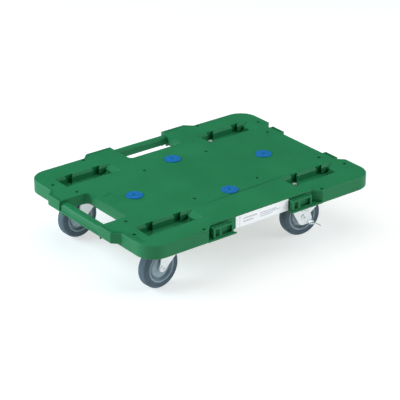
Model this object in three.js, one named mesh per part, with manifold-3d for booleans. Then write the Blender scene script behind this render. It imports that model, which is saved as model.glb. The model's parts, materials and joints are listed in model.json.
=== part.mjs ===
// Connectable platform trolley: a moulded plastic deck on four swivel plate casters.
// Millimetres, +Z up. The origin is on the floor, under the middle of the overall box.
// The deck is drawn in its own frame: middle of the deck without its projections, top at z = 0.
import * as THREE from 'three';
import { mergeVertices } from 'three/addons/utils/BufferGeometryUtils.js';
import Module from 'manifold-3d';

const wasm = await Module();
wasm.setup();

// Deck
const DECK_X = 243.5; // half length
const DECK_Y = 181; // half width
const DECK_TOP = 108.5; // height of the load surface
const RIM = 24; // height of the outer wall
const CORNER = 35; // corner radius in plan
const WALL = 3; // wall and skin thickness
const EDGE = 1.2; // broken edge of the rim
const PROJECTION = 13; // how far a connecting projection stands out
const RECESS = 14; // depth of the matching recess
const SHIFT = PROJECTION / 2; // from the overall box's middle to the deck's middle
const TONGUE_X = 122.5; // half length at the root of the projection on the long side
const TONGUE_Y = 105; // the same on the short side
const TONGUE_DEPTH = 19.5; // height of a projection, which rests on a recess's bottom plate
const SLACK = 1.5; // clearance at each end of a projection in a recess
const RIB_PITCH = 40;
const RIB_WIDTH = 2;
const RIB_DEPTH = 16.5; // underside of the ribs, where the caster plates sit

// Handles: one through opening behind each projection, closed outside by a grip bar
const GRIP_HALF = 58; // half length of the opening
const GRIP_EDGE_X = 198; // inner edge of the opening on the short side
const GRIP_EDGE_Y = 129; // inner edge of the opening on the long side
const BAR_WIDE = 16.5;
const BAR_TOP = -4.5;
const BAR_LOW = -TONGUE_DEPTH;
const BAR_INSET = 2.5; // from the projection's face to the bar's face
const BAR_LIP = 1.4; // how far the lip along the bar's foot stands out
const PEG_LOW = -26; // foot of the locating pegs under the ends of each bar

// Pockets in the deck above the casters
const SWIVEL_X = 155.8;
const SWIVEL_Y = 118.5;
const POCKET_LONG = 114.5;
const POCKET_WIDE = 37.5;
const POCKET_FLOOR = -13.5;
const POCKET_CHAMFER = 4;
const RAMP_LONG = 11; // sloping end of a pocket
const RAMP_DEEP = 6.5;
const CROSS_SLOT = 12.5; // width of a slanted slot across the pocket, wider at its rear end
const CROSS_HALF = 20.5; // half its length, across the pocket
const CROSS_SLANT = 10; // how far each end of the slot is from its middle, along the pocket
const CROSS_PLACES = [-41, 16]; // middles of the two slots, from the pocket's middle
const SLOT_FLOOR = -15.4;
const BOLT_PLACE = [-36.1, 7]; // an extra bolt of the braked casters, from the swivel axis
const RAMP_RIBS = [-9.5, -5, -0.5, 4];

// Fine grooves in the top: round the projections, at the front left corner, and one by the short hand opening
const GROOVE_WIDTH = 1;
const GROOVE_DEPTH = 0.6;
const GROOVE_INSETS = [3, 6.5]; // from a projection's outline
const CORNER_GROOVES = [[-235.9, -107], [-232.7, -107], [-229.5, -128]]; // place in X, end in Y
const GRIP_MARK = [[-187, 29.8], [-168.5, 29.8]];

// Small round holes, four mirrored places each, and the anti-slip pads
const HOLE_R = 3.3;
const HOLE_PLACES = [[68.4, 72], [211, 72], [228.3, 119.8], [127.5, 174]];
const PAD_R = 15;
const PAD_PLACES = [[-141.7, 0], [141.7, 0], [0, 81.2], [0, -81.2]];

// Connector boxes in the recesses, which a neighbour's projection drops over: their ends along the side
const BOX_BACK = 4; // gap between a box and the back wall
const BOX_OUT = 11.5; // from the back wall to the box's face
const BOX_TOP = -3;
const BOX_SKIN = 1.8;
const PLATE_TOP = -21;
const BOXES_LONG_SIDE = [[-111, -69], [58.5, 101.5]];
const BOXES_SHORT_SIDE = [[-87, -56], [60.5, 91.5]];

// Caster
const WHEEL_R = 37.5;
const TREAD_HALF = 9.7;
const SHOULDER = 4.9; // radius of the tyre's shoulders
const TYRE_BORE = 26.6;
const TRAIL = 26.7;
const LEG_IN = 10.4;
const LEG_OUT = 12.5;
const FOOT_R = 7; // radius of a fork leg round the axle
const MOUNT_TOP = DECK_TOP - RIB_DEPTH - 0.1; // top of the caster's plate
const SCREW_X = 30;
const SCREW_Y = 24;
const CROWN_TOP = 83.7;
const CROWN_LOW = 81;
const PEDAL = [14.5, -12.5]; // middle of the brake pedal from the axle, towards the swivel axis and up
const CASTERS = [
  { name: 'front_left', x: -1, y: -1, heading: 5, brake: false },
  { name: 'rear_left', x: -1, y: 1, heading: 3.9, brake: false },
  { name: 'front_right', x: 1, y: -1, heading: -7.5, brake: true },
  { name: 'rear_right', x: 1, y: 1, heading: 5, brake: true },
];

// ---------------------------------------------------------------- solids
function solid(geometry) {
  const bare = geometry.clone();
  for (const name of Object.keys(bare.attributes)) {
    if (name !== 'position') bare.deleteAttribute(name);
  }
  const merged = mergeVertices(bare, 1e-4);
  return new wasm.Manifold(new wasm.Mesh({
    numProp: 3,
    vertProperties: new Float32Array(merged.attributes.position.array),
    triVerts: new Uint32Array(merged.index.array),
  }));
}

function geometryOf(body) {
  const mesh = body.getMesh();
  const geometry = new THREE.BufferGeometry();
  geometry.setAttribute('position', new THREE.BufferAttribute(mesh.vertProperties, 3));
  geometry.setIndex(new THREE.BufferAttribute(mesh.triVerts, 1));
  geometry.computeVertexNormals();
  return geometry;
}

function join(bodies) {
  return bodies.reduce((whole, body) => whole.add(body));
}

function block(x0, x1, y0, y1, z0, z1) {
  const geometry = new THREE.BoxGeometry(x1 - x0, y1 - y0, z1 - z0);
  return solid(geometry.translate((x0 + x1) / 2, (y0 + y1) / 2, (z0 + z1) / 2));
}

// A box whose bottom is smaller than its top by the same amount on every side
function hopper(x0, x1, y0, y1, z0, z1, taper) {
  const geometry = new THREE.BoxGeometry(x1 - x0, y1 - y0, z1 - z0);
  const points = geometry.attributes.position;
  for (let i = 0; i < points.count; i += 1) {
    if (points.getZ(i) < 0) {
      points.setX(i, points.getX(i) - Math.sign(points.getX(i)) * taper);
      points.setY(i, points.getY(i) - Math.sign(points.getY(i)) * taper);
    }
  }
  return solid(geometry.translate((x0 + x1) / 2, (y0 + y1) / 2, (z0 + z1) / 2));
}

function drum(x, y, z0, z1, radius, sides = 24) {
  const geometry = new THREE.CylinderGeometry(radius, radius, z1 - z0, sides);
  return solid(geometry.rotateX(Math.PI / 2).translate(x, y, (z0 + z1) / 2));
}

function shapeOf(points) {
  return new THREE.Shape(points.map(([x, y]) => new THREE.Vector2(x, y)));
}

// An outline in the XY plane, raised from z0 to z1, with its edges broken by bevel
function prism(shape, z0, z1, bevel = 0) {
  const geometry = new THREE.ExtrudeGeometry(shape, {
    depth: z1 - z0 - 2 * bevel,
    curveSegments: 5,
    bevelEnabled: bevel > 0,
    bevelSize: bevel,
    bevelThickness: bevel,
    bevelOffset: -bevel,
    bevelSegments: 1,
  });
  return solid(geometry.translate(0, 0, z0 + bevel));
}

// An outline drawn as (x, z), raised along Y from y0 to y1
function sidePrism(shape, y0, y1) {
  const geometry = new THREE.ExtrudeGeometry(shape, { depth: y1 - y0, curveSegments: 7, bevelEnabled: false });
  return solid(geometry.rotateX(Math.PI / 2).translate(0, y1, 0));
}

function roundedRectangle(x0, x1, y0, y1, r) {
  const shape = new THREE.Shape();
  shape.absarc(x1 - r, y0 + r, r, -Math.PI / 2, 0, false);
  shape.absarc(x1 - r, y1 - r, r, 0, Math.PI / 2, false);
  shape.absarc(x0 + r, y1 - r, r, Math.PI / 2, Math.PI, false);
  shape.absarc(x0 + r, y0 + r, r, Math.PI, Math.PI * 1.5, false);
  return shape;
}

// A solid of revolution about Y through the origin, from (radius, y) points
function turned(points, sides) {
  return solid(new THREE.LatheGeometry(points.map(([r, y]) => new THREE.Vector2(r, y)), sides));
}

// ---------------------------------------------------------------- deck
// The deck's plan without its projections; inset moves every edge inwards
function deckPlan(inset) {
  const x = DECK_X - inset;
  const y = DECK_Y - inset;
  const r = CORNER - inset;
  const slope = inset * (Math.SQRT2 - 1);
  const longMouth = TONGUE_X + SLACK + slope;
  const shortMouth = TONGUE_Y + SLACK + slope;
  const shape = new THREE.Shape();
  shape.moveTo(-x + r, -y);
  shape.lineTo(-longMouth, -y);
  shape.lineTo(-longMouth + RECESS, -y + RECESS);
  shape.lineTo(longMouth - RECESS, -y + RECESS);
  shape.lineTo(longMouth, -y);
  shape.absarc(x - r, -y + r, r, -Math.PI / 2, 0, false);
  shape.lineTo(x, -shortMouth);
  shape.lineTo(x - RECESS, -shortMouth + RECESS);
  shape.lineTo(x - RECESS, shortMouth - RECESS);
  shape.lineTo(x, shortMouth);
  shape.absarc(x - r, y - r, r, 0, Math.PI / 2, false);
  shape.absarc(-x + r, y - r, r, Math.PI / 2, Math.PI, false);
  shape.absarc(-x + r, -y + r, r, Math.PI, Math.PI * 1.5, false);
  return shape;
}

// A projection standing out in +Y from the line y = face, with 45 degree ends
function tongue(half, face, inset, low, high, bevel) {
  const slope = inset * (Math.SQRT2 - 1);
  const root = 6;
  return prism(shapeOf([
    [-half + slope + inset, face - root],
    [half - slope - inset, face - root],
    [half - slope - inset, face],
    [half - PROJECTION - slope, face + PROJECTION - inset],
    [-half + PROJECTION + slope, face + PROJECTION - inset],
    [-half + slope + inset, face],
  ]), low, high, bevel);
}

// The grip bar along X, its outer face near the line y = face, with a lip along its foot
function gripBar(face) {
  const outer = face + PROJECTION - BAR_INSET;
  const inner = outer - BAR_WIDE;
  const section = new THREE.Shape();
  section.absarc(inner + 5, BAR_TOP - 5, 5, Math.PI, Math.PI / 2, true);
  section.absarc(outer - 6, BAR_TOP - 6, 6, Math.PI / 2, 0, true);
  section.lineTo(outer, BAR_LOW + 3.4);
  section.lineTo(outer + BAR_LIP, BAR_LOW + 2.6);
  section.lineTo(outer + BAR_LIP, BAR_LOW);
  section.absarc(inner + 3, BAR_LOW + 3, 3, Math.PI * 1.5, Math.PI, true);
  const geometry = new THREE.ExtrudeGeometry(section, {
    depth: 2 * GRIP_HALF + 3,
    curveSegments: 4,
    bevelEnabled: false,
  });
  geometry.rotateX(Math.PI / 2).rotateZ(Math.PI / 2);
  const bar = solid(geometry.translate(-GRIP_HALF - 1.5, 0, 0));
  const pegs = [-1, 1].map((side) => drum(side * (GRIP_HALF - 2), outer - 3, PEG_LOW, BAR_LOW + 3, 1.8, 8));
  return bar.add(join(pegs));
}

// A fine groove in the top along a line of points
function groove(points) {
  const cuts = points.slice(1).map(([x1, y1], i) => {
    const [x0, y0] = points[i];
    const length = Math.hypot(x1 - x0, y1 - y0) + GROOVE_WIDTH;
    const geometry = new THREE.BoxGeometry(length, GROOVE_WIDTH, 2).rotateZ(Math.atan2(y1 - y0, x1 - x0));
    return solid(geometry.translate((x0 + x1) / 2, (y0 + y1) / 2, 1 - GROOVE_DEPTH));
  });
  return join(cuts);
}

// The grooves on both ends of a projection that stands out in +Y, each following its outline
function projectionGrooves(half, face) {
  const paths = GROOVE_INSETS.map((inset, i) => {
    const step = inset * (Math.SQRT2 - 1);
    const points = [
      [GRIP_HALF + 3, face + PROJECTION - inset],
      [half - PROJECTION - step, face + PROJECTION - inset],
      [half - step, face - inset],
    ];
    return i === 0 ? [...points, [half + 15, face - inset]] : points;
  });
  return join(paths.flatMap((path) => [groove(path), groove(path.map(([x, y]) => [-x, y]))]));
}

// A pocket above a caster, with a ramped end and two slots across it; bolted shows a bolt in one slot
function pocketCut(cx, cy, bolted) {
  const x0 = cx - POCKET_LONG / 2;
  const x1 = cx + POCKET_LONG / 2;
  const y0 = cy - POCKET_WIDE / 2;
  const y1 = cy + POCKET_WIDE / 2;
  const c = POCKET_CHAMFER;
  const ramp = shapeOf([
    [cx, 0.01], [x1, 0.01], [x1, 0], [x1 - RAMP_LONG, -RAMP_DEEP], [x1 - RAMP_LONG, POCKET_FLOOR], [cx, POCKET_FLOOR],
  ]);
  const cuts = [
    hopper(x0, x1 - RAMP_LONG + 2 * c, y0, y1, -c, 0.01, c),
    sidePrism(ramp, y0 + c, y1 - c),
    block(x0 + c, x1 - RAMP_LONG, y0 + c, y1 - c, POCKET_FLOOR, -c + 0.01),
    block(cx + 24, x1 - RAMP_LONG, y0 + c, y1 - c, SLOT_FLOOR, POCKET_FLOOR + 1),
  ];
  for (const place of CROSS_PLACES) {
    const half = CROSS_SLOT / 2;
    const reach = CROSS_HALF - half;
    const slot = new THREE.Shape();
    slot.absarc(0, -reach, half, Math.PI, 2 * Math.PI, false);
    slot.lineTo(half, CROSS_HALF - 4);
    slot.lineTo(half + 1.5, CROSS_HALF);
    slot.lineTo(-half - 3, CROSS_HALF);
    slot.lineTo(-half, CROSS_HALF - 5);
    const points = slot.getPoints(4).map((p) => [cx + place + p.x + (p.y * CROSS_SLANT) / reach, cy + p.y]);
    cuts.push(prism(shapeOf(points), SLOT_FLOOR, 1));
  }
  if (bolted) cuts.push(drum(cx + BOLT_PLACE[0], cy + BOLT_PLACE[1], -RIB_DEPTH - 1, SLOT_FLOOR + 1, 3.2, 10));
  return join(cuts);
}

function rampRibs(cx, cy) {
  const end = cx + POCKET_LONG / 2 - RAMP_LONG + 1;
  const foot = SLOT_FLOOR - 0.5;
  const outline = shapeOf([[end - 17, foot], [end, foot], [end, -RAMP_DEEP - 0.4], [end - 2, -RAMP_DEEP - 0.4], [end - 17, -14]]);
  return RAMP_RIBS.map((y) => sidePrism(outline, cy + y - 0.7, cy + y + 0.7));
}

// The open-topped boxes and their bottom plates in one recess, on the side whose face is y = -half
function connectorBoxes(half, places, mouth) {
  const back = -half + RECESS;
  const face = back - BOX_OUT;
  const bodies = places.map(([x0, x1]) => {
    const wide = (x1 - x0) * 0.52;
    const low = PLATE_TOP + 2;
    const box = block(x0, x1, face, back - BOX_BACK, -RIM, BOX_TOP);
    const inside = block(x0 + BOX_SKIN, x1 - BOX_SKIN, face + BOX_SKIN, back - BOX_BACK - BOX_SKIN, PLATE_TOP, 0);
    const narrowWindow = block(x0 + 4.2, x0 + 4.2 + wide * 0.38, face - 1, face + 2.5, low, BOX_TOP - 3);
    const wideWindow = block(x1 - 3.4 - wide, x1 - 3.4, face - 1, face + 2.5, low, BOX_TOP - 3);
    const outline = x0 > 0
      ? [[x0 - 3, -half], [mouth, -half], [mouth - RECESS, back + 1], [x0, back + 1]]
      : [[-mouth, -half], [x1 + 5, -half], [x1 + 1, face + 2], [x1, back + 1], [-mouth + RECESS, back + 1]];
    return box.subtract(inside).subtract(narrowWindow).subtract(wideWindow)
      .add(prism(shapeOf(outline), -RIM, PLATE_TOP));
  });
  return join(bodies);
}

function ribs() {
  const bodies = [];
  for (let x = -5 * RIB_PITCH; x <= 5 * RIB_PITCH; x += RIB_PITCH) {
    bodies.push(block(x - RIB_WIDTH / 2, x + RIB_WIDTH / 2, -DECK_Y + 1, DECK_Y - 1, -RIB_DEPTH, -WALL + 0.5));
  }
  for (let y = -4 * RIB_PITCH; y <= 4 * RIB_PITCH; y += RIB_PITCH) {
    bodies.push(block(-DECK_X + 1, DECK_X - 1, y - RIB_WIDTH / 2, y + RIB_WIDTH / 2, -RIB_DEPTH, -WALL + 0.5));
  }
  return join(bodies).intersect(prism(deckPlan(1), -RIM, 0));
}

function quarterTurn(body) {
  return body.rotate([0, 0, 90]);
}

function deckBody() {
  let deck = prism(deckPlan(0), -RIM, 0, EDGE).subtract(prism(deckPlan(WALL), -RIM - 1, -WALL));
  deck = deck.add(ribs());
  const tongues = [
    tongue(TONGUE_X, DECK_Y, 0, -TONGUE_DEPTH, 0, EDGE),
    quarterTurn(tongue(TONGUE_Y, DECK_X, 0, -TONGUE_DEPTH, 0, EDGE)),
  ];
  deck = deck.add(join(tongues));
  const hollows = [
    tongue(TONGUE_X, DECK_Y, 2.5, -RIM, -2.4, 0).intersect(block(-300, 300, DECK_Y, 300, -RIM, 0)),
    quarterTurn(tongue(TONGUE_Y, DECK_X, 2.5, -RIM, -2.4, 0).intersect(block(-300, 300, DECK_X, 300, -RIM, 0))),
  ];
  deck = deck.subtract(join(hollows));

  // Collars round the two hand openings, then the openings and their bars
  const collarLong = block(-GRIP_HALF - WALL, GRIP_HALF + WALL, GRIP_EDGE_Y - WALL, DECK_Y + PROJECTION - 3, BAR_LOW, -1);
  const collarShort = block(-GRIP_HALF - WALL, GRIP_HALF + WALL, GRIP_EDGE_X - WALL, DECK_X + PROJECTION - 3, BAR_LOW, -1);
  deck = deck.add(collarLong).add(quarterTurn(collarShort));
  const openLong = prism(roundedRectangle(-GRIP_HALF, GRIP_HALF, GRIP_EDGE_Y, DECK_Y + 60, 8), -RIM - 1, 1);
  const openShort = prism(roundedRectangle(-GRIP_HALF, GRIP_HALF, GRIP_EDGE_X, DECK_X + 60, 8), -RIM - 1, 1);
  deck = deck.subtract(openLong).subtract(quarterTurn(openShort));
  deck = deck.add(gripBar(DECK_Y)).add(quarterTurn(gripBar(DECK_X)));

  // Pockets, screw bosses and caster seats
  for (const { x, y, brake } of CASTERS) {
    const cx = x * SWIVEL_X;
    const cy = y * SWIVEL_Y;
    const tubX = POCKET_LONG / 2 + 2.5;
    const tubY = POCKET_WIDE / 2 + 2.5;
    deck = deck.add(block(cx - tubX, cx + tubX, cy - tubY, cy + tubY, -RIB_DEPTH, -1));
    for (const [sx, sy] of [[-1, -1], [-1, 1], [1, -1], [1, 1]]) {
      deck = deck.add(drum(cx + sx * SCREW_X, cy + sy * SCREW_Y, -RIB_DEPTH, -1, 7, 10));
    }
    deck = deck.subtract(pocketCut(cx, cy, brake)).add(join(rampRibs(cx, cy)));
    for (const [sx, sy] of [[-1, -1], [-1, 1], [1, -1], [1, 1]]) {
      deck = deck.subtract(drum(cx + sx * SCREW_X, cy + sy * SCREW_Y, -RIB_DEPTH - 1, -5, 3, 8));
    }
  }

  deck = deck.add(connectorBoxes(DECK_Y, BOXES_LONG_SIDE, TONGUE_X + SLACK));
  deck = deck.add(quarterTurn(connectorBoxes(DECK_X, BOXES_SHORT_SIDE, TONGUE_Y + SLACK)));

  deck = deck.subtract(projectionGrooves(TONGUE_X, DECK_Y));
  deck = deck.subtract(quarterTurn(projectionGrooves(TONGUE_Y, DECK_X)));
  for (const [x, end] of CORNER_GROOVES) deck = deck.subtract(groove([[x, -151], [x, end]]));
  deck = deck.subtract(groove(GRIP_MARK));

  for (const [x, y] of PAD_PLACES) {
    deck = deck.add(drum(x, y, -RIB_DEPTH, -1, 9, 12));
    deck = deck.subtract(drum(x, y, -1, 1, PAD_R + 0.3, 24)).subtract(drum(x, y, -RIM, 1, 4.8, 12));
  }
  for (const [x, y] of HOLE_PLACES) {
    for (const [sx, sy] of [[-1, -1], [-1, 1], [1, -1], [1, 1]]) {
      deck = deck.subtract(drum(sx * x, sy * y, -WALL - 1, 1, HOLE_R, 10));
    }
  }
  return deck;
}

// Anti-slip pad: a flat button with a centre dimple and a stem that snaps through the deck
function padBody() {
  const points = [
    [0, -11], [4.4, -11], [4.4, -1], [PAD_R, -1], [PAD_R, 0.9], [PAD_R - 0.6, 1.3],
    [3, 1.3], [2.4, 0.4], [0, 0.4],
  ];
  return turned(points, 24).rotate([90, 0, 0]);
}

// ---------------------------------------------------------------- caster
function mountPlate(brake) {
  const high = MOUNT_TOP;
  let plate = prism(roundedRectangle(-38, 38, -32, 32, 8), high - 2.5, high);
  plate = plate.add(drum(0, 0, high - 4, high - 2, 19, 24)).subtract(drum(0, 0, high - 6, high + 1, 5.2, 12));
  for (const [sx, sy] of [[-1, -1], [-1, 1], [1, -1], [1, 1]]) {
    plate = plate.subtract(drum(sx * SCREW_X, sy * SCREW_Y, high - 4, high + 1, 3.3, 8));
  }
  if (brake) plate = plate.subtract(drum(...BOLT_PLACE, high - 4, high + 1, 3.2, 10));
  return plate;
}

function mountScrew(x, y) {
  const under = MOUNT_TOP - 2.6;
  return drum(x, y, under - 4, under, 5.5, 6).add(drum(x, y, under - 1, MOUNT_TOP + 9, 2.8, 8));
}

function kingPin() {
  return drum(0, 0, CROWN_LOW - 3.3, CROWN_LOW - 0.2, 9, 16).add(drum(0, 0, CROWN_LOW - 1, MOUNT_TOP, 5, 12));
}

function swivelRace() {
  return drum(0, 0, CROWN_TOP + 0.1, MOUNT_TOP - 4.1, 21, 24).subtract(drum(0, 0, CROWN_LOW, MOUNT_TOP, 7, 12));
}

// One leg's outline as (x, z): x from the swivel axis, z above the floor
function legOutline() {
  const shape = new THREE.Shape();
  shape.moveTo(14, CROWN_TOP);
  shape.lineTo(-23.2, CROWN_TOP);
  shape.absarc(-TRAIL, WHEEL_R, FOOT_R, Math.PI * 0.93, Math.PI * 1.73, false);
  shape.lineTo(-TRAIL + 34, WHEEL_R + 20.2);
  shape.lineTo(14, WHEEL_R + 34);
  return shape;
}

function forkBody() {
  const leg = legOutline();
  let fork = drum(0, 0, CROWN_LOW, CROWN_TOP, 22, 24).add(block(-23.2, 14, -LEG_OUT, LEG_OUT, CROWN_LOW, CROWN_TOP));
  fork = fork.add(sidePrism(leg, -LEG_OUT, -LEG_IN)).add(sidePrism(leg, LEG_IN, LEG_OUT));
  const axleHole = new THREE.CylinderGeometry(4.2, 4.2, 40, 12).translate(-TRAIL, 0, WHEEL_R);
  return fork.subtract(solid(axleHole)).subtract(drum(0, 0, CROWN_LOW - 1, CROWN_TOP + 1, 5.4, 12));
}

// The wheel's pieces and the axle turn about Y through the axle's middle
function tyreBody() {
  const points = [[TYRE_BORE, -TREAD_HALF], [WHEEL_R - SHOULDER, -TREAD_HALF]];
  points.push([WHEEL_R - 0.3 * SHOULDER, -TREAD_HALF + 0.3 * SHOULDER], [WHEEL_R, -TREAD_HALF + SHOULDER]);
  const mirrored = points.map(([r, y]) => [r, -y]).reverse();
  return turned([...points, ...mirrored, points[0]], 32);
}

function hubBody() {
  const side = [[6.2, -10], [8.8, -10], [10, -7.6], [22.6, -4.2], [24, -9.6], [26.4, -9.6]];
  const mirrored = side.map(([r, y]) => [r, -y]).reverse();
  return turned([...side, ...mirrored, side[0]], 24);
}

function bushBody() {
  const length = 10.1;
  return turned([[4.2, -length], [6, -length], [6, length], [4.2, length], [4.2, -length]], 12);
}

// A rivet with low heads; the front one sits on the brake lever's plate where there is one
function axleRivet(brake) {
  const back = LEG_OUT + 0.1;
  const front = brake ? back + 2 : back;
  const along = (radius, y0, y1, sides) => {
    const rod = new THREE.CylinderGeometry(radius, radius, y1 - y0, sides);
    return solid(rod.translate(0, (y0 + y1) / 2, 0));
  };
  const whole = along(3.9, -front - 1, back + 1, 12).add(along(5.2, back, back + 1.6, 16));
  const dimple = along(1.5, -front - 2, -front - 0.6, 8);
  return whole.add(along(5.2, -front - 1.6, -front, 16)).subtract(dimple);
}

// Foot brake, drawn from the axle: a round-bottomed plate with an arm, a bent-out pedal and a toe rod
function brakeLever() {
  const outer = -LEG_OUT - 1.9;
  const inner = -LEG_OUT - 0.3;
  const [px, pz] = PEDAL;
  const plate = new THREE.Shape();
  plate.moveTo(-12, 24);
  plate.lineTo(-27, 22);
  plate.absarc(0, -4, 11.6, Math.PI * 1.16, Math.PI * 1.64, false);
  plate.lineTo(px + 1, pz - 3);
  plate.lineTo(17, -5);
  plate.lineTo(15, 3);
  plate.lineTo(11, 9);
  plate.lineTo(-3, 11);
  const hole = solid(new THREE.CylinderGeometry(4.2, 4.2, 40, 12));
  const pedal = solid(new THREE.BoxGeometry(14, 8, 1.8).rotateY(0.22).translate(px, outer - 3, pz - 0.5));
  const rod = solid(new THREE.CylinderGeometry(1, 1, 20, 8).rotateZ(0.15).translate(px + 6, outer - 12, pz - 0.6));
  return sidePrism(plate, outer, inner).subtract(hole).add(pedal).add(rod);
}

// The extra bolt that holds a braked caster, its head in a slot of the pocket
function pocketBolt() {
  const seat = DECK_TOP + SLOT_FLOOR + 0.1;
  const [x, y] = BOLT_PLACE;
  return drum(x, y, seat, seat + 4, 4, 6).add(drum(x, y, MOUNT_TOP - 2.5, seat + 1, 2.6, 8));
}

// ---------------------------------------------------------------- materials
function material(color, roughness, metalness = 0) {
  return new THREE.MeshStandardMaterial({ color, roughness, metalness, flatShading: true });
}

const GREEN_PLASTIC = material(0x1f7a4c, 0.5);
const BLUE_RUBBER = material(0x2176bd, 0.6);
const WHITE_LABEL = material(0xe9e7ea, 0.5);
const ZINC_STEEL = material(0xc9ced2, 0.35, 0.9);
const GREY_RUBBER = material(0x4b5a66, 0.75);
const GREY_PLASTIC = material(0x74818a, 0.5);

function node(name, body, finish) {
  const mesh = new THREE.Mesh(geometryOf(body), finish);
  mesh.name = name;
  return mesh;
}

// ---------------------------------------------------------------- assembly
function deckGroup() {
  const group = new THREE.Group();
  group.position.set(SHIFT, -SHIFT, DECK_TOP);
  group.add(node('deck', deckBody(), GREEN_PLASTIC));
  PAD_PLACES.forEach(([x, y], i) => {
    const pad = node(`antislip_pad_${i + 1}`, padBody(), BLUE_RUBBER);
    pad.position.set(x, y, 0);
    group.add(pad);
  });
  const wall = -DECK_Y + RECESS;
  group.add(node('label', block(-56, 58, wall - 0.5, wall - 0.1, -23, -1.6), WHITE_LABEL));
  return group;
}

function casterGroup({ name, x, y, heading, brake }) {
  const group = new THREE.Group();
  group.position.set(SHIFT + x * SWIVEL_X, -SHIFT + y * SWIVEL_Y, 0);
  group.add(node(`${name}_mount_plate`, mountPlate(brake), ZINC_STEEL));
  if (brake) group.add(node(`${name}_pocket_bolt`, pocketBolt(), ZINC_STEEL));
  group.add(node(`${name}_king_pin`, kingPin(), ZINC_STEEL));
  [[-1, -1], [-1, 1], [1, -1], [1, 1]].forEach(([sx, sy], i) => {
    group.add(node(`${name}_screw_${i + 1}`, mountScrew(sx * SCREW_X, sy * SCREW_Y), ZINC_STEEL));
  });

  const swivel = new THREE.Group();
  swivel.rotation.z = THREE.MathUtils.degToRad(heading);
  swivel.add(node(`${name}_race`, swivelRace(), ZINC_STEEL));
  swivel.add(node(`${name}_fork`, forkBody(), ZINC_STEEL));
  const axle = new THREE.Group();
  axle.position.set(-TRAIL, 0, WHEEL_R);
  axle.add(node(`${name}_axle`, axleRivet(brake), ZINC_STEEL));
  axle.add(node(`${name}_bush`, bushBody(), ZINC_STEEL));
  axle.add(node(`${name}_hub`, hubBody(), GREY_PLASTIC));
  axle.add(node(`${name}_tyre`, tyreBody(), GREY_RUBBER));
  if (brake) axle.add(node(`${name}_brake_lever`, brakeLever(), ZINC_STEEL));
  swivel.add(axle);
  group.add(swivel);
  return group;
}

const group = new THREE.Group();
group.add(deckGroup());
for (const caster of CASTERS) group.add(casterGroup(caster));

export default group;
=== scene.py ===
"""Connectable platform trolley: looks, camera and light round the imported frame. Metres, +Z up."""
import json
import math

import bmesh
import bpy
from mathutils import Matrix, Vector


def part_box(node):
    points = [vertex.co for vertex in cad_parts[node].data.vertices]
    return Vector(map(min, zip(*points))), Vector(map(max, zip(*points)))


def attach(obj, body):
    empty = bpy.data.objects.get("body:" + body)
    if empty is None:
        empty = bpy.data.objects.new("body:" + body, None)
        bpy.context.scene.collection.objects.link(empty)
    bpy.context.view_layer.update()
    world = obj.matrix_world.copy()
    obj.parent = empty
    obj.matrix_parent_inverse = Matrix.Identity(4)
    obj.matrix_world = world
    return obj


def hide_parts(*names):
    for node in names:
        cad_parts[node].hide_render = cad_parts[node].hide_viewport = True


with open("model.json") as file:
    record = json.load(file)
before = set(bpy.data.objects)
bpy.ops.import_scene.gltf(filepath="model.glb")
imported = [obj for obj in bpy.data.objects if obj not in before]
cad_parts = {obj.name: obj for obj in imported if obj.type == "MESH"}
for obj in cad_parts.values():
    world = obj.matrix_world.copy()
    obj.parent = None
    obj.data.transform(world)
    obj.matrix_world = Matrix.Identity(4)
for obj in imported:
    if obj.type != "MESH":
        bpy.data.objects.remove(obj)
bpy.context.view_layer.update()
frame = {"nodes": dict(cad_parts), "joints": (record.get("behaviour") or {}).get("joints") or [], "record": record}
MM = 0.001
QUARTER_TURN = math.pi / 2

scene = bpy.context.scene
scene.view_settings.view_transform = "Standard"


# ------------------------------------------------------------------ materials
def new_material(name, color, roughness, metallic=0.0, specular=0.5):
    """A Principled material with one colour, for the functions below to add to."""
    mat = bpy.data.materials.new(name)
    mat.use_nodes = True
    shader = mat.node_tree.nodes["Principled BSDF"]
    shader.inputs["Base Color"].default_value = (*color, 1)
    shader.inputs["Roughness"].default_value = roughness
    shader.inputs["Metallic"].default_value = metallic
    shader.inputs["Specular IOR Level"].default_value = specular
    return mat


def add_noise(mat, scale, detail=3.0, stretch=(1, 1, 1)):
    """A noise pattern in object space, scale in waves per metre."""
    nodes, links = mat.node_tree.nodes, mat.node_tree.links
    place = nodes.new("ShaderNodeTexCoord")
    mapping = nodes.new("ShaderNodeMapping")
    mapping.inputs["Scale"].default_value = stretch
    noise = nodes.new("ShaderNodeTexNoise")
    noise.inputs["Scale"].default_value = scale
    noise.inputs["Detail"].default_value = detail
    links.new(place.outputs["Object"], mapping.inputs["Vector"])
    links.new(mapping.outputs["Vector"], noise.inputs["Vector"])
    return noise


def vary_color(mat, noise, dark, light):
    """The base colour runs between two shades over the middle of the noise."""
    nodes, links = mat.node_tree.nodes, mat.node_tree.links
    ramp = nodes.new("ShaderNodeValToRGB")
    ramp.color_ramp.elements[0].position = 0.35
    ramp.color_ramp.elements[1].position = 0.65
    ramp.color_ramp.elements[0].color = (*dark, 1)
    ramp.color_ramp.elements[1].color = (*light, 1)
    links.new(noise.outputs["Fac"], ramp.inputs["Fac"])
    links.new(ramp.outputs["Color"], nodes["Principled BSDF"].inputs["Base Color"])


def vary_roughness(mat, noise, low, high):
    """The roughness runs between two values with the noise."""
    nodes, links = mat.node_tree.nodes, mat.node_tree.links
    span = nodes.new("ShaderNodeMapRange")
    span.inputs["To Min"].default_value = low
    span.inputs["To Max"].default_value = high
    links.new(noise.outputs["Fac"], span.inputs["Value"])
    links.new(span.outputs["Result"], nodes["Principled BSDF"].inputs["Roughness"])


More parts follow.
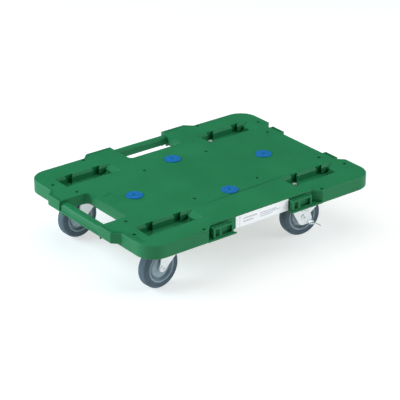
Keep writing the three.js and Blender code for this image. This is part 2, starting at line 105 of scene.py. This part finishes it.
def add_bump(mat, noise, strength, depth):
    """The noise as a fine relief, depth in metres."""
    nodes, links = mat.node_tree.nodes, mat.node_tree.links
    bump = nodes.new("ShaderNodeBump")
    bump.inputs["Strength"].default_value = strength
    bump.inputs["Distance"].default_value = depth
    links.new(noise.outputs["Fac"], bump.inputs["Height"])
    links.new(bump.outputs["Normal"], nodes["Principled BSDF"].inputs["Normal"])


def green_plastic():
    mat = new_material("green_plastic", (0.011, 0.17, 0.062), 0.5, specular=0.22)
    vary_color(mat, add_noise(mat, 14, 4), (0.009, 0.16, 0.058), (0.013, 0.18, 0.067))
    grain = add_noise(mat, 1100, 2)
    vary_roughness(mat, grain, 0.42, 0.6)
    add_bump(mat, grain, 0.35, 0.00012)
    return mat


def blue_rubber():
    mat = new_material("blue_rubber", (0.004, 0.128, 0.37), 0.6, specular=0.2)
    vary_color(mat, add_noise(mat, 120, 3), (0.003, 0.118, 0.345), (0.005, 0.138, 0.395))
    add_bump(mat, add_noise(mat, 1500, 2), 0.4, 0.0001)
    return mat


def white_label():
    mat = new_material("white_label", (0.93, 0.94, 0.96), 0.4)
    vary_roughness(mat, add_noise(mat, 60, 2), 0.3, 0.42)
    return mat


def label_ink():
    mat = new_material("label_ink", (0.6, 0.6, 0.66), 0.45)
    vary_color(mat, add_noise(mat, 500, 2), (0.5, 0.5, 0.56), (0.74, 0.73, 0.78))
    return mat


def zinc_steel():
    mat = new_material("zinc_steel", (0.86, 0.89, 0.91), 0.4, 0.6)
    vary_color(mat, add_noise(mat, 90, 4), (0.83, 0.86, 0.88), (0.9, 0.92, 0.93))
    streaks = add_noise(mat, 500, 3, (1, 1, 0.15))
    vary_roughness(mat, streaks, 0.3, 0.5)
    add_bump(mat, streaks, 0.15, 0.00005)
    return mat


def grey_rubber():
    mat = new_material("grey_rubber", (0.07, 0.108, 0.14), 0.65, specular=0.4)
    vary_color(mat, add_noise(mat, 80, 4), (0.062, 0.098, 0.128), (0.08, 0.12, 0.152))
    grain = add_noise(mat, 1400, 2)
    vary_roughness(mat, grain, 0.55, 0.75)
    add_bump(mat, grain, 0.4, 0.0001)
    return mat


def grey_plastic():
    mat = new_material("grey_plastic", (0.3, 0.39, 0.44), 0.45)
    vary_color(mat, add_noise(mat, 120, 3), (0.27, 0.36, 0.41), (0.33, 0.42, 0.47))
    add_bump(mat, add_noise(mat, 1200, 2), 0.3, 0.0001)
    return mat


MATERIALS = {
    "green_plastic": green_plastic(),
    "blue_rubber": blue_rubber(),
    "white_label": white_label(),
    "label_ink": label_ink(),
    "zinc_steel": zinc_steel(),
    "grey_rubber": grey_rubber(),
    "grey_plastic": grey_plastic(),
}
for subpart in frame["record"]["subparts"]:
    cad = frame["nodes"][subpart["node"]]
    cad.data.materials.clear()
    cad.data.materials.append(MATERIALS[subpart["material_slot"]])


# ------------------------------------------------------------------ modifiers
def smooth_by_angle(obj, degrees):
    """A modifier that smooths the shading over edges flatter than the angle."""
    group = bpy.data.node_groups.new("smooth_by_angle", "GeometryNodeTree")
    for way in ("INPUT", "OUTPUT"):
        group.interface.new_socket("Geometry", in_out=way, socket_type="NodeSocketGeometry")
    nodes, links = group.nodes, group.links
    start, end = nodes.new("NodeGroupInput"), nodes.new("NodeGroupOutput")
    faces = nodes.new("GeometryNodeSetShadeSmooth")
    faces.domain = "FACE"
    edges = nodes.new("GeometryNodeSetShadeSmooth")
    edges.domain = "EDGE"
    angle = nodes.new("GeometryNodeInputMeshEdgeAngle")
    flat_enough = nodes.new("FunctionNodeCompare")
    flat_enough.operation = "LESS_THAN"
    flat_enough.inputs[1].default_value = math.radians(degrees)
    links.new(start.outputs[0], faces.inputs["Geometry"])
    links.new(faces.outputs["Geometry"], edges.inputs["Geometry"])
    links.new(angle.outputs["Unsigned Angle"], flat_enough.inputs[0])
    links.new(flat_enough.outputs["Result"], edges.inputs["Shade Smooth"])
    links.new(edges.outputs["Geometry"], end.inputs[0])
    obj.modifiers.new("smooth_shading", "NODES").node_group = group


def soft_edges(obj, width, segments, degrees):
    """A modifier that rounds edges sharper than the angle, width in millimetres."""
    bevel = obj.modifiers.new("soft_edges", "BEVEL")
    bevel.width = width * MM
    bevel.segments = segments
    bevel.limit_method = "ANGLE"
    bevel.angle_limit = math.radians(degrees)
    bevel.harden_normals = True


# ------------------------------------------------------------------ deck
deck = frame["nodes"]["deck"]
flat = deck.modifiers.new("merge_flats", "DECIMATE")
flat.decimate_type = "DISSOLVE"
flat.angle_limit = math.radians(1)
smooth_by_angle(deck, 24)
soft_edges(deck, 0.7, 2, 40)

# Pressed plates, pins, screws and the label keep their CAD shape, with broken edges
KEPT_ENDINGS = ("mount_plate", "king_pin", "pocket_bolt", "label")
for name, cad in frame["nodes"].items():
    if name.endswith(KEPT_ENDINGS) or "_screw_" in name:
        soft_edges(cad, 0.12 if name == "label" else 0.35, 2, 50)


# ------------------------------------------------------------------ mesh helpers
MERGE = 1e-4  # points closer than this are one, in millimetres


def piece(name, mesh, mat, place, body, stands_for=(), bevel=0.0, smooth=40):
    """Puts a mesh drawn in millimetres at a place in the frame, and rides it on a body."""
    mesh.transform(place @ Matrix.Scale(MM, 4))
    for face in mesh.polygons:
        face.use_smooth = True
    mesh.set_sharp_from_angle(angle=math.radians(smooth))
    mesh.materials.append(MATERIALS[mat])
    obj = bpy.data.objects.new(name, mesh)
    scene.collection.objects.link(obj)
    if bevel:
        soft_edges(obj, bevel, 3, 35)
    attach(obj, body)
    if stands_for:
        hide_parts(*stands_for)


def mesh_from(name, verts, faces, drop_slivers=False):
    """A mesh with its doubled points merged and its normals facing out."""
    mesh = bpy.data.meshes.new(name)
    mesh.from_pydata(verts, [], faces)
    bm = bmesh.new()
    bm.from_mesh(mesh)
    bmesh.ops.remove_doubles(bm, verts=bm.verts, dist=MERGE)
    if drop_slivers:
        bmesh.ops.dissolve_degenerate(bm, edges=bm.edges, dist=MERGE)
    bmesh.ops.recalc_face_normals(bm, faces=bm.faces)
    bm.to_mesh(mesh)
    bm.free()
    return mesh


def join_meshes(name, meshes):
    """Several closed shells as one mesh."""
    bm = bmesh.new()
    for mesh in meshes:
        bm.from_mesh(mesh)
    whole = bpy.data.meshes.new(name)
    bm.to_mesh(whole)
    bm.free()
    return whole


def lathe(name, profile, steps=96):
    """A solid turned about the local Y axis from (radius, y) points.

    The profile is a closed loop, or starts and ends on the axis.
    """
    closed = profile[0][0] > 0
    verts, faces = [], []
    count = len(profile)
    for i in range(steps):
        a = 2 * math.pi * i / steps
        verts += [(r * math.cos(a), y, r * math.sin(a)) for r, y in profile]
    for i in range(steps):
        here, there = i * count, (i + 1) % steps * count
        for k in range(count if closed else count - 1):
            n = (k + 1) % count
            faces.append((here + k, here + n, there + n, there + k))
    return mesh_from(name, verts, faces, drop_slivers=True)


def upright(mesh):
    """Tips a mesh a quarter turn about X, so that its Y axis becomes Z."""
    mesh.transform(Matrix.Rotation(QUARTER_TURN, 4, "X"))
    return mesh


def slab(name, outline, low, high):
    """An outline in the local XY plane raised along Z."""
    count = len(outline)
    verts = [(x, y, low) for x, y in outline] + [(x, y, high) for x, y in outline]
    faces = [tuple(range(count)), tuple(range(count, 2 * count))]
    for i in range(count):
        n = (i + 1) % count
        faces.append((i, n, n + count, i + count))
    return mesh_from(name, verts, faces)


def arc(cx, cy, radius, start, end, steps=16):
    """Points on an arc, angles in degrees."""
    points = []
    for i in range(steps + 1):
        a = math.radians(start + (end - start) * i / steps)
        points.append((cx + radius * math.cos(a), cy + radius * math.sin(a)))
    return points


def mirror(half):
    """A (radius, y) profile for one side continued symmetrically to the other side."""
    return half + [(r, -y) for r, y in reversed(half)]


def strip(name, spine, spans, thick):
    """Bent sheet metal: a row across x from x0 to x1 at each (y, z) of the spine."""
    columns = 10
    verts, faces = [], []
    for (y, z), (x0, x1) in zip(spine, spans):
        verts += [(x0 + (x1 - x0) * k / columns, y, z) for k in range(columns + 1)]
    width = columns + 1
    for row in range(len(spine) - 1):
        for k in range(columns):
            a = row * width + k
            faces.append((a, a + 1, a + 1 + width, a + width))
    sheet = bpy.data.objects.new(name, mesh_from(name, verts, faces))
    scene.collection.objects.link(sheet)
    thicken = sheet.modifiers.new("thicken", "SOLIDIFY")
    thicken.thickness = thick
    thicken.offset = 0
    thicken.use_even_offset = True
    depsgraph = bpy.context.evaluated_depsgraph_get()
    solid = bpy.data.meshes.new_from_object(sheet.evaluated_get(depsgraph))
    bpy.data.objects.remove(sheet)
    return solid


# ------------------------------------------------------------------ casters
# Millimetres. A caster's own axes: x ahead of the swivel axis, y along the axle, z up.
TYRE_R = 37.5
TREAD_HALF = 9.7  # half the tread's width
SHOULDER = 4.9  # radius of the tyre's rounded shoulder
CREASE_R = TYRE_R - SHOULDER
HUB_R = 26.55
TRAIL = 26.7  # the axle is this far behind the swivel axis
LEG_IN, LEG_OUT = 10.4, 12.5  # a fork leg's inner and outer faces
LEG_MID = (LEG_IN + LEG_OUT) / 2
FOOT_R = 7  # round end of a leg, about the axle
CROWN_LOW, CROWN_TOP = 81.0, 83.7
CROWN_MID = (CROWN_LOW + CROWN_TOP) / 2
CROWN_BEND = 4.0  # radius where a leg turns into the crown
CROWN_R, CROWN_BORE_R = 22, 5.6
PLATE_LOW = 87.9
BUSH_HALF = 10.1
SHANK_R = 3.9
LEVER_FACES = (-LEG_OUT - 1.9, -LEG_OUT - 0.35)  # outer and inner faces of the brake lever
PEDAL = (14.5, -12.5)  # middle of the brake pedal from the axle
PEDAL_HALF, PEDAL_THICK, PEDAL_TILT = 6, 1.6, 0.22
ROD_LENGTH, ROD_R, ROD_TURN = 20, 0.95, 0.15


def tyre_mesh(name):
    side = [
        (HUB_R, -8.7), (26.9, -9.5), (27.4, -9.65), (30.5, -9.6),
        (CREASE_R - 1.3, -9.65), (CREASE_R - 1.0, -9.4),
        (CREASE_R - 0.6, -9.15), (CREASE_R - 0.2, -9.35),
    ]
    shoulder = arc(CREASE_R, -TREAD_HALF + SHOULDER, SHOULDER, -90, 0, 10)
    return lathe(name, mirror(side + shoulder + [(TYRE_R, -1.8)]))


def hub_mesh(name):
    """A dished face round the bush, a deep groove, and a thin raised ring at the tyre."""
    side = [
        (6.2, -9.9), (8.0, -10.0), (8.7, -9.7), (9.2, -7.9), (10.4, -7.3), (17.6, -6.6),
        (18.6, -6.0), (19.6, -2.9), (20.4, -2.3), (22.8, -2.3), (23.4, -2.9), (24.1, -8.6),
        (24.5, -9.4), (25.0, -9.6), (26.0, -9.6), (26.4, -9.3), (HUB_R - 0.05, -8.8),
    ]
    return lathe(name, mirror(side))


def span(outline, z):
    """The reach in x of a closed (x, z) outline at one height."""
    found = []
    for (xa, za), (xb, zb) in zip(outline, outline[1:] + outline[:1]):
        if (za - z) * (zb - z) <= 0 and za != zb:
            found.append(xa + (xb - xa) * (z - za) / (zb - za))
    return min(found), max(found)


def leg_outline():
    """One fork leg as (x, z), x from the swivel axis and z above the floor."""
    foot = arc(-TRAIL, TYRE_R, FOOT_R, 167, 311, 24)
    return [(14, 84), (-23.2, 84)] + foot + [(-TRAIL + 34, TYRE_R + 20.2), (14, TYRE_R + 34)]


def leg_rows(leg, side):
    """Rows of one leg from its foot up to the bend: close together round the foot, then even."""
    foot = min(z for x, z in leg)
    heights = [foot + 0.02 + d for d in (0, 0.25, 0.8, 1.6, 2.7, 4.0, 5.4, 6.8)]
    z = heights[-1] + 2
    while z < CROWN_MID - CROWN_BEND:
        heights.append(z)
        z += 2.6
    return [((side * LEG_MID, h), span(leg, h)) for h in heights]


def bend_rows(leg, side):
    """Rows round the bend from a leg into the crown."""
    rows = []
    for y, z in arc(LEG_MID - CROWN_BEND, CROWN_MID - CROWN_BEND, CROWN_BEND, 0, 90, 8):
        rows.append(((side * y, z), span(leg, z)))
    return rows


def fork_mesh(name):
    """A strap bent down into two legs, under a round crown."""
    leg = leg_outline()
    rows = leg_rows(leg, -1) + bend_rows(leg, -1)
    rows += [((0, CROWN_MID), span(leg, CROWN_MID))]
    rows += bend_rows(leg, 1)[::-1] + leg_rows(leg, 1)[::-1]
    spine, spans = zip(*rows)
    strap = strip(name + "_strap", spine, spans, LEG_OUT - LEG_IN)
    profile = [(CROWN_BORE_R, CROWN_LOW + 0.1)]
    profile += arc(CROWN_R - 1, CROWN_LOW + 1.1, 1, -90, 0, 4)
    profile += arc(CROWN_R - 1, CROWN_TOP - 1.1, 1, 0, 90, 4)
    profile += [(CROWN_BORE_R, CROWN_TOP - 0.1)]
    crown = upright(lathe(name + "_crown", profile, 64))
    return join_meshes(name, [strap, crown])


def race_mesh(name):
    """Two pressed rings, one on the other, with a groove between them."""
    low, high = CROWN_TOP + 0.15, PLATE_LOW - 0.1
    mid = (low + high) / 2
    profile = [
        (7, low), (20.0, low), (20.7, low + 0.5), (20.9, mid - 0.5), (20.2, mid - 0.35),
        (20.2, mid + 0.35), (20.9, mid + 0.5), (20.7, high - 0.5), (20.0, high), (7, high),
    ]
    return upright(lathe(name, profile, 72))


def rivet_head(face, sign):
    """A low domed head with a dimple, on the side of the fork that sign says."""
    profile = [
        (0, face - 1.6), (4.4, face - 1.0), (5.0, face), (5.2, face + 0.3), (5.0, face + 0.8),
        (4.0, face + 1.3), (3.0, face + 1.55), (2.5, face + 1.4), (2.1, face - 0.5),
        (0, face - 0.8),
    ]
    return lathe("head", [(r, sign * y) for r, y in profile], 48)


def axle_mesh(name, braked):
    """A rivet, longer on the side that carries the brake lever. Its shank ends inside its heads."""
    back = LEG_OUT + 0.1
    front = back + 2 if braked else back
    low, high = 1.2 - front, back - 1.2
    shank = lathe("shank", [(0, low), (SHANK_R, low), (SHANK_R, high), (0, high)], 32)
    return join_meshes(name, [shank, rivet_head(front, -1), rivet_head(back, 1)])


def bush_mesh(name):
    end = [(4.2, -BUSH_HALF), (5.7, -BUSH_HALF), (6, -BUSH_HALF + 0.3)]
    return lathe(name, mirror(end), 48)


def lever_mesh(name):
    """Drawn from the axle: a round-bottomed plate with an arm, a bent-out pedal and a toe rod."""
    outer, inner = LEVER_FACES
    px, pz = PEDAL
    rim = [(-3, 11), (-12, 24), (-27, 22)] + arc(0, -4, 11.6, 209, 295, 28)
    rim += [(px + 1, pz - 3), (17, -5), (15, 3), (11, 9)]
    plate = upright(slab("plate", rim, -inner, -outer))

    spine, spans = [], []
    for y, z in arc(outer + 0.9, pz - 0.8, 2.4, 90, 180, 8):
        spine.append((y, z))
        spans.append((px - PEDAL_HALF, px + PEDAL_HALF))
    for i in range(1, 7):  # outwards, flaring and dipping a little
        spine.append((outer - 1.5 - 0.9 * i, pz - 0.8 - 0.02 * i * i))
        spans.append((px - PEDAL_HALF + 0.1 * i, px + PEDAL_HALF + 0.2 * i))
    pedal = strip("pedal", spine, spans, PEDAL_THICK)
    middle = Matrix.Translation((px, 0, pz))
    pedal.transform(middle @ Matrix.Rotation(PEDAL_TILT, 4, "Y") @ middle.inverted())

    rod_profile = [
        (0, -ROD_LENGTH), (0.6, 0.2 - ROD_LENGTH), (ROD_R, 0.8 - ROD_LENGTH), (ROD_R, 0), (0, 0),
    ]
    rod = lathe("rod", rod_profile, 24)
    rod_root = Matrix.Translation((px + 4.5, outer - 2, pz - 0.5))
    rod.transform(rod_root @ Matrix.Rotation(ROD_TURN, 4, "Z"))
    return join_meshes(name, [plate, pedal, rod])


joints = {joint["name"]: joint for joint in frame["joints"]}
for caster in ("front_left", "rear_left", "front_right", "rear_right"):
    swivel = joints[caster + "_swivel_turn"]
    spin = joints[caster + "_wheel_spin"]
    braked = caster + "_brake_press" in joints
    side = Vector(spin["axis"])
    ahead = side.cross(Vector((0, 0, 1)))
    turn = Matrix((ahead, side, (0, 0, 1))).transposed().to_4x4()
    x, y, _ = swivel["pos_m"]
    head = Matrix.Translation((x, y, 0)) @ turn
    wheel = Matrix.Translation(spin["pos_m"]) @ turn
    on_swivel, on_wheel = caster + "_swivel", caster + "_wheel"

    def put(label, mesh, mat, place, body, bevel=0.0, smooth=40):
        node = f"{caster}_{label}"
        piece(node + "_skin", mesh, mat, place, body, (node,), bevel, smooth)

    put("tyre", tyre_mesh(caster + "_tyre_skin"), "grey_rubber", wheel, on_wheel, smooth=50)
    put("hub", hub_mesh(caster + "_hub_skin"), "grey_plastic", wheel, on_wheel, smooth=30)
    put("fork", fork_mesh(caster + "_fork_skin"), "zinc_steel", head, on_swivel, bevel=0.45)
    put("race", race_mesh(caster + "_race_skin"), "zinc_steel", head, on_swivel, smooth=30)
    axle = axle_mesh(caster + "_axle_skin", braked)
    put("axle", axle, "zinc_steel", wheel, on_swivel, smooth=35)
    put("bush", bush_mesh(caster + "_bush_skin"), "zinc_steel", wheel, on_swivel, smooth=30)
    if braked:
        pivot = Matrix.Translation(joints[caster + "_brake_press"]["pos_m"]) @ turn
        lever = lever_mesh(caster + "_lever_skin")
        put("brake_lever", lever, "zinc_steel", pivot, caster + "_brake", bevel=0.35)


# ------------------------------------------------------------------ pads
PAD_RISE = 1.3  # from the deck's top to the pad's, in millimetres


def pad_mesh(name):
    """A thin disc with a round edge, a centre dimple, and a stem down through the deck."""
    profile = [(0, -11), (4.2, -11), (4.4, -10.5), (4.4, -0.95), (14.9, -0.95), (15, -0.6)]
    profile += [(15, 0.7)] + arc(14.4, 0.7, 0.6, 0, 90, 5) + [(4.4, PAD_RISE), (3.9, 1.25)]
    profile += [(3.4, 0.9), (3.1, 0.0), (2.4, -0.4), (0, -0.5)]
    return upright(lathe(name, profile, 96))


for number in (1, 2, 3, 4):
    node = f"antislip_pad_{number}"
    low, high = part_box(node)
    middle = (low + high) / 2
    place = Matrix.Translation((middle.x, middle.y, high.z - PAD_RISE * MM))
    pad = pad_mesh(node + "_skin")
    piece(node + "_skin", pad, "blue_rubber", place, "platform", (node,), smooth=35)


# ------------------------------------------------------------------ label print
def print_mesh(name, low, high):
    """Faint grey bars and one upright rule, 0.08 mm proud of the label between two corners."""
    left, face, foot, top = low.x / MM, low.y / MM, low.z / MM, high.z / MM
    first, second = left + 16, left + 52  # where the two columns of bars start
    blocks = [
        (left + 8.3, left + 9.4, foot + 1.2, top - 1.6),
        (first, first + 30, top - 9.0, top - 6.2),
        (first, first + 22, top - 14.6, top - 11.8),
        (second, second + 36, top - 9.0, top - 7.2),
        (second, second + 44, top - 12.2, top - 10.4),
        (second, second + 28, top - 15.4, top - 13.6),
    ]
    verts, faces = [], []
    for a, b, c, d in blocks:
        n = len(verts)
        corners = ((a, c), (b, c), (b, d), (a, d))
        verts += [(x, y, z) for y in (face - 0.08, face - 0.02) for x, z in corners]
        faces += [(n, n + 1, n + 2, n + 3), (n + 4, n + 5, n + 6, n + 7)]
        for i in range(4):
            k = (i + 1) % 4
            faces.append((n + i, n + k, n + k + 4, n + i + 4))
    return mesh_from(name, verts, faces)


bars = print_mesh("label_print", *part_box("label"))
piece("label_print", bars, "label_ink", Matrix(), "platform")


# ------------------------------------------------------------------ stage
bpy.ops.mesh.primitive_plane_add(size=40)
floor = bpy.context.object
floor.name = "floor"
pale = new_material("pale_floor", (0.5, 0.5, 0.5), 0.9, specular=0.1)
pale_shader = pale.node_tree.nodes["Principled BSDF"]
pale_shader.inputs["Emission Color"].default_value = (1, 1, 1, 1)
pale_shader.inputs["Emission Strength"].default_value = 0.6
floor.data.materials.append(pale)

world = bpy.data.worlds.new("studio")
scene.world = world
world.use_nodes = True
sky, sky_links = world.node_tree.nodes, world.node_tree.links
direction = sky.new("ShaderNodeTexCoord")
height = sky.new("ShaderNodeSeparateXYZ")
fade = sky.new("ShaderNodeValToRGB")  # pale at the horizon, dim above, so the sides stay in shade
fade.color_ramp.elements[0].position = 0.08
fade.color_ramp.elements[0].color = (0.72, 0.72, 0.72, 1)
fade.color_ramp.elements[1].position = 0.2
fade.color_ramp.elements[1].color = (0.1, 0.1, 0.1, 1)
sky_links.new(direction.outputs["Generated"], height.inputs["Vector"])
sky_links.new(height.outputs["Z"], fade.inputs["Fac"])
sky_links.new(fade.outputs["Color"], sky["Background"].inputs["Color"])
sky["Background"].inputs["Strength"].default_value = 1

LIT_POINT = Vector((0, 0, 0.1))


def area_light(name, width, depth, power, place, color):
    """A soft rectangular light that faces the object."""
    light = bpy.data.lights.new(name, "AREA")
    light.shape = "RECTANGLE"
    light.size, light.size_y = width, depth
    light.energy = power
    light.color = color
    lamp = bpy.data.objects.new(name, light)
    scene.collection.objects.link(lamp)
    lamp.location = place
    lamp.rotation_euler = (LIT_POINT - lamp.location).to_track_quat("-Z", "Y").to_euler()


area_light("left", 1.8, 1.2, 68, (-1.75, 1.35, 1.2), (0.7, 0.93, 1.0))
area_light("right", 1.8, 1.2, 37, (1.75, -1.35, 1.2), (0.86, 0.97, 1.0))
area_light("top", 2.2, 2.2, 27, (0, 0, 2.4), (1.0, 0.99, 0.95))

# Camera: the view of the deck's middle from the front left, with a long lens
DISTANCE = 3.0011
TARGET = Vector((0.0065, -0.0065, 0.1085))
AZIMUTH, ELEVATION = math.radians(-37.709), math.radians(24.579)
camera_data = bpy.data.cameras.new("camera")
camera_data.lens = 155.1
camera_data.sensor_width = 36
camera_data.shift_x = -0.00156
camera_data.shift_y = -0.0646
camera = bpy.data.objects.new("camera", camera_data)
scene.collection.objects.link(camera)
back = Vector((
    math.sin(AZIMUTH) * math.cos(ELEVATION),
    -math.cos(AZIMUTH) * math.cos(ELEVATION),
    math.sin(ELEVATION),
))
camera.location = TARGET + back * DISTANCE
camera.rotation_euler = (QUARTER_TURN - ELEVATION, 0, AZIMUTH)
scene.camera = camera
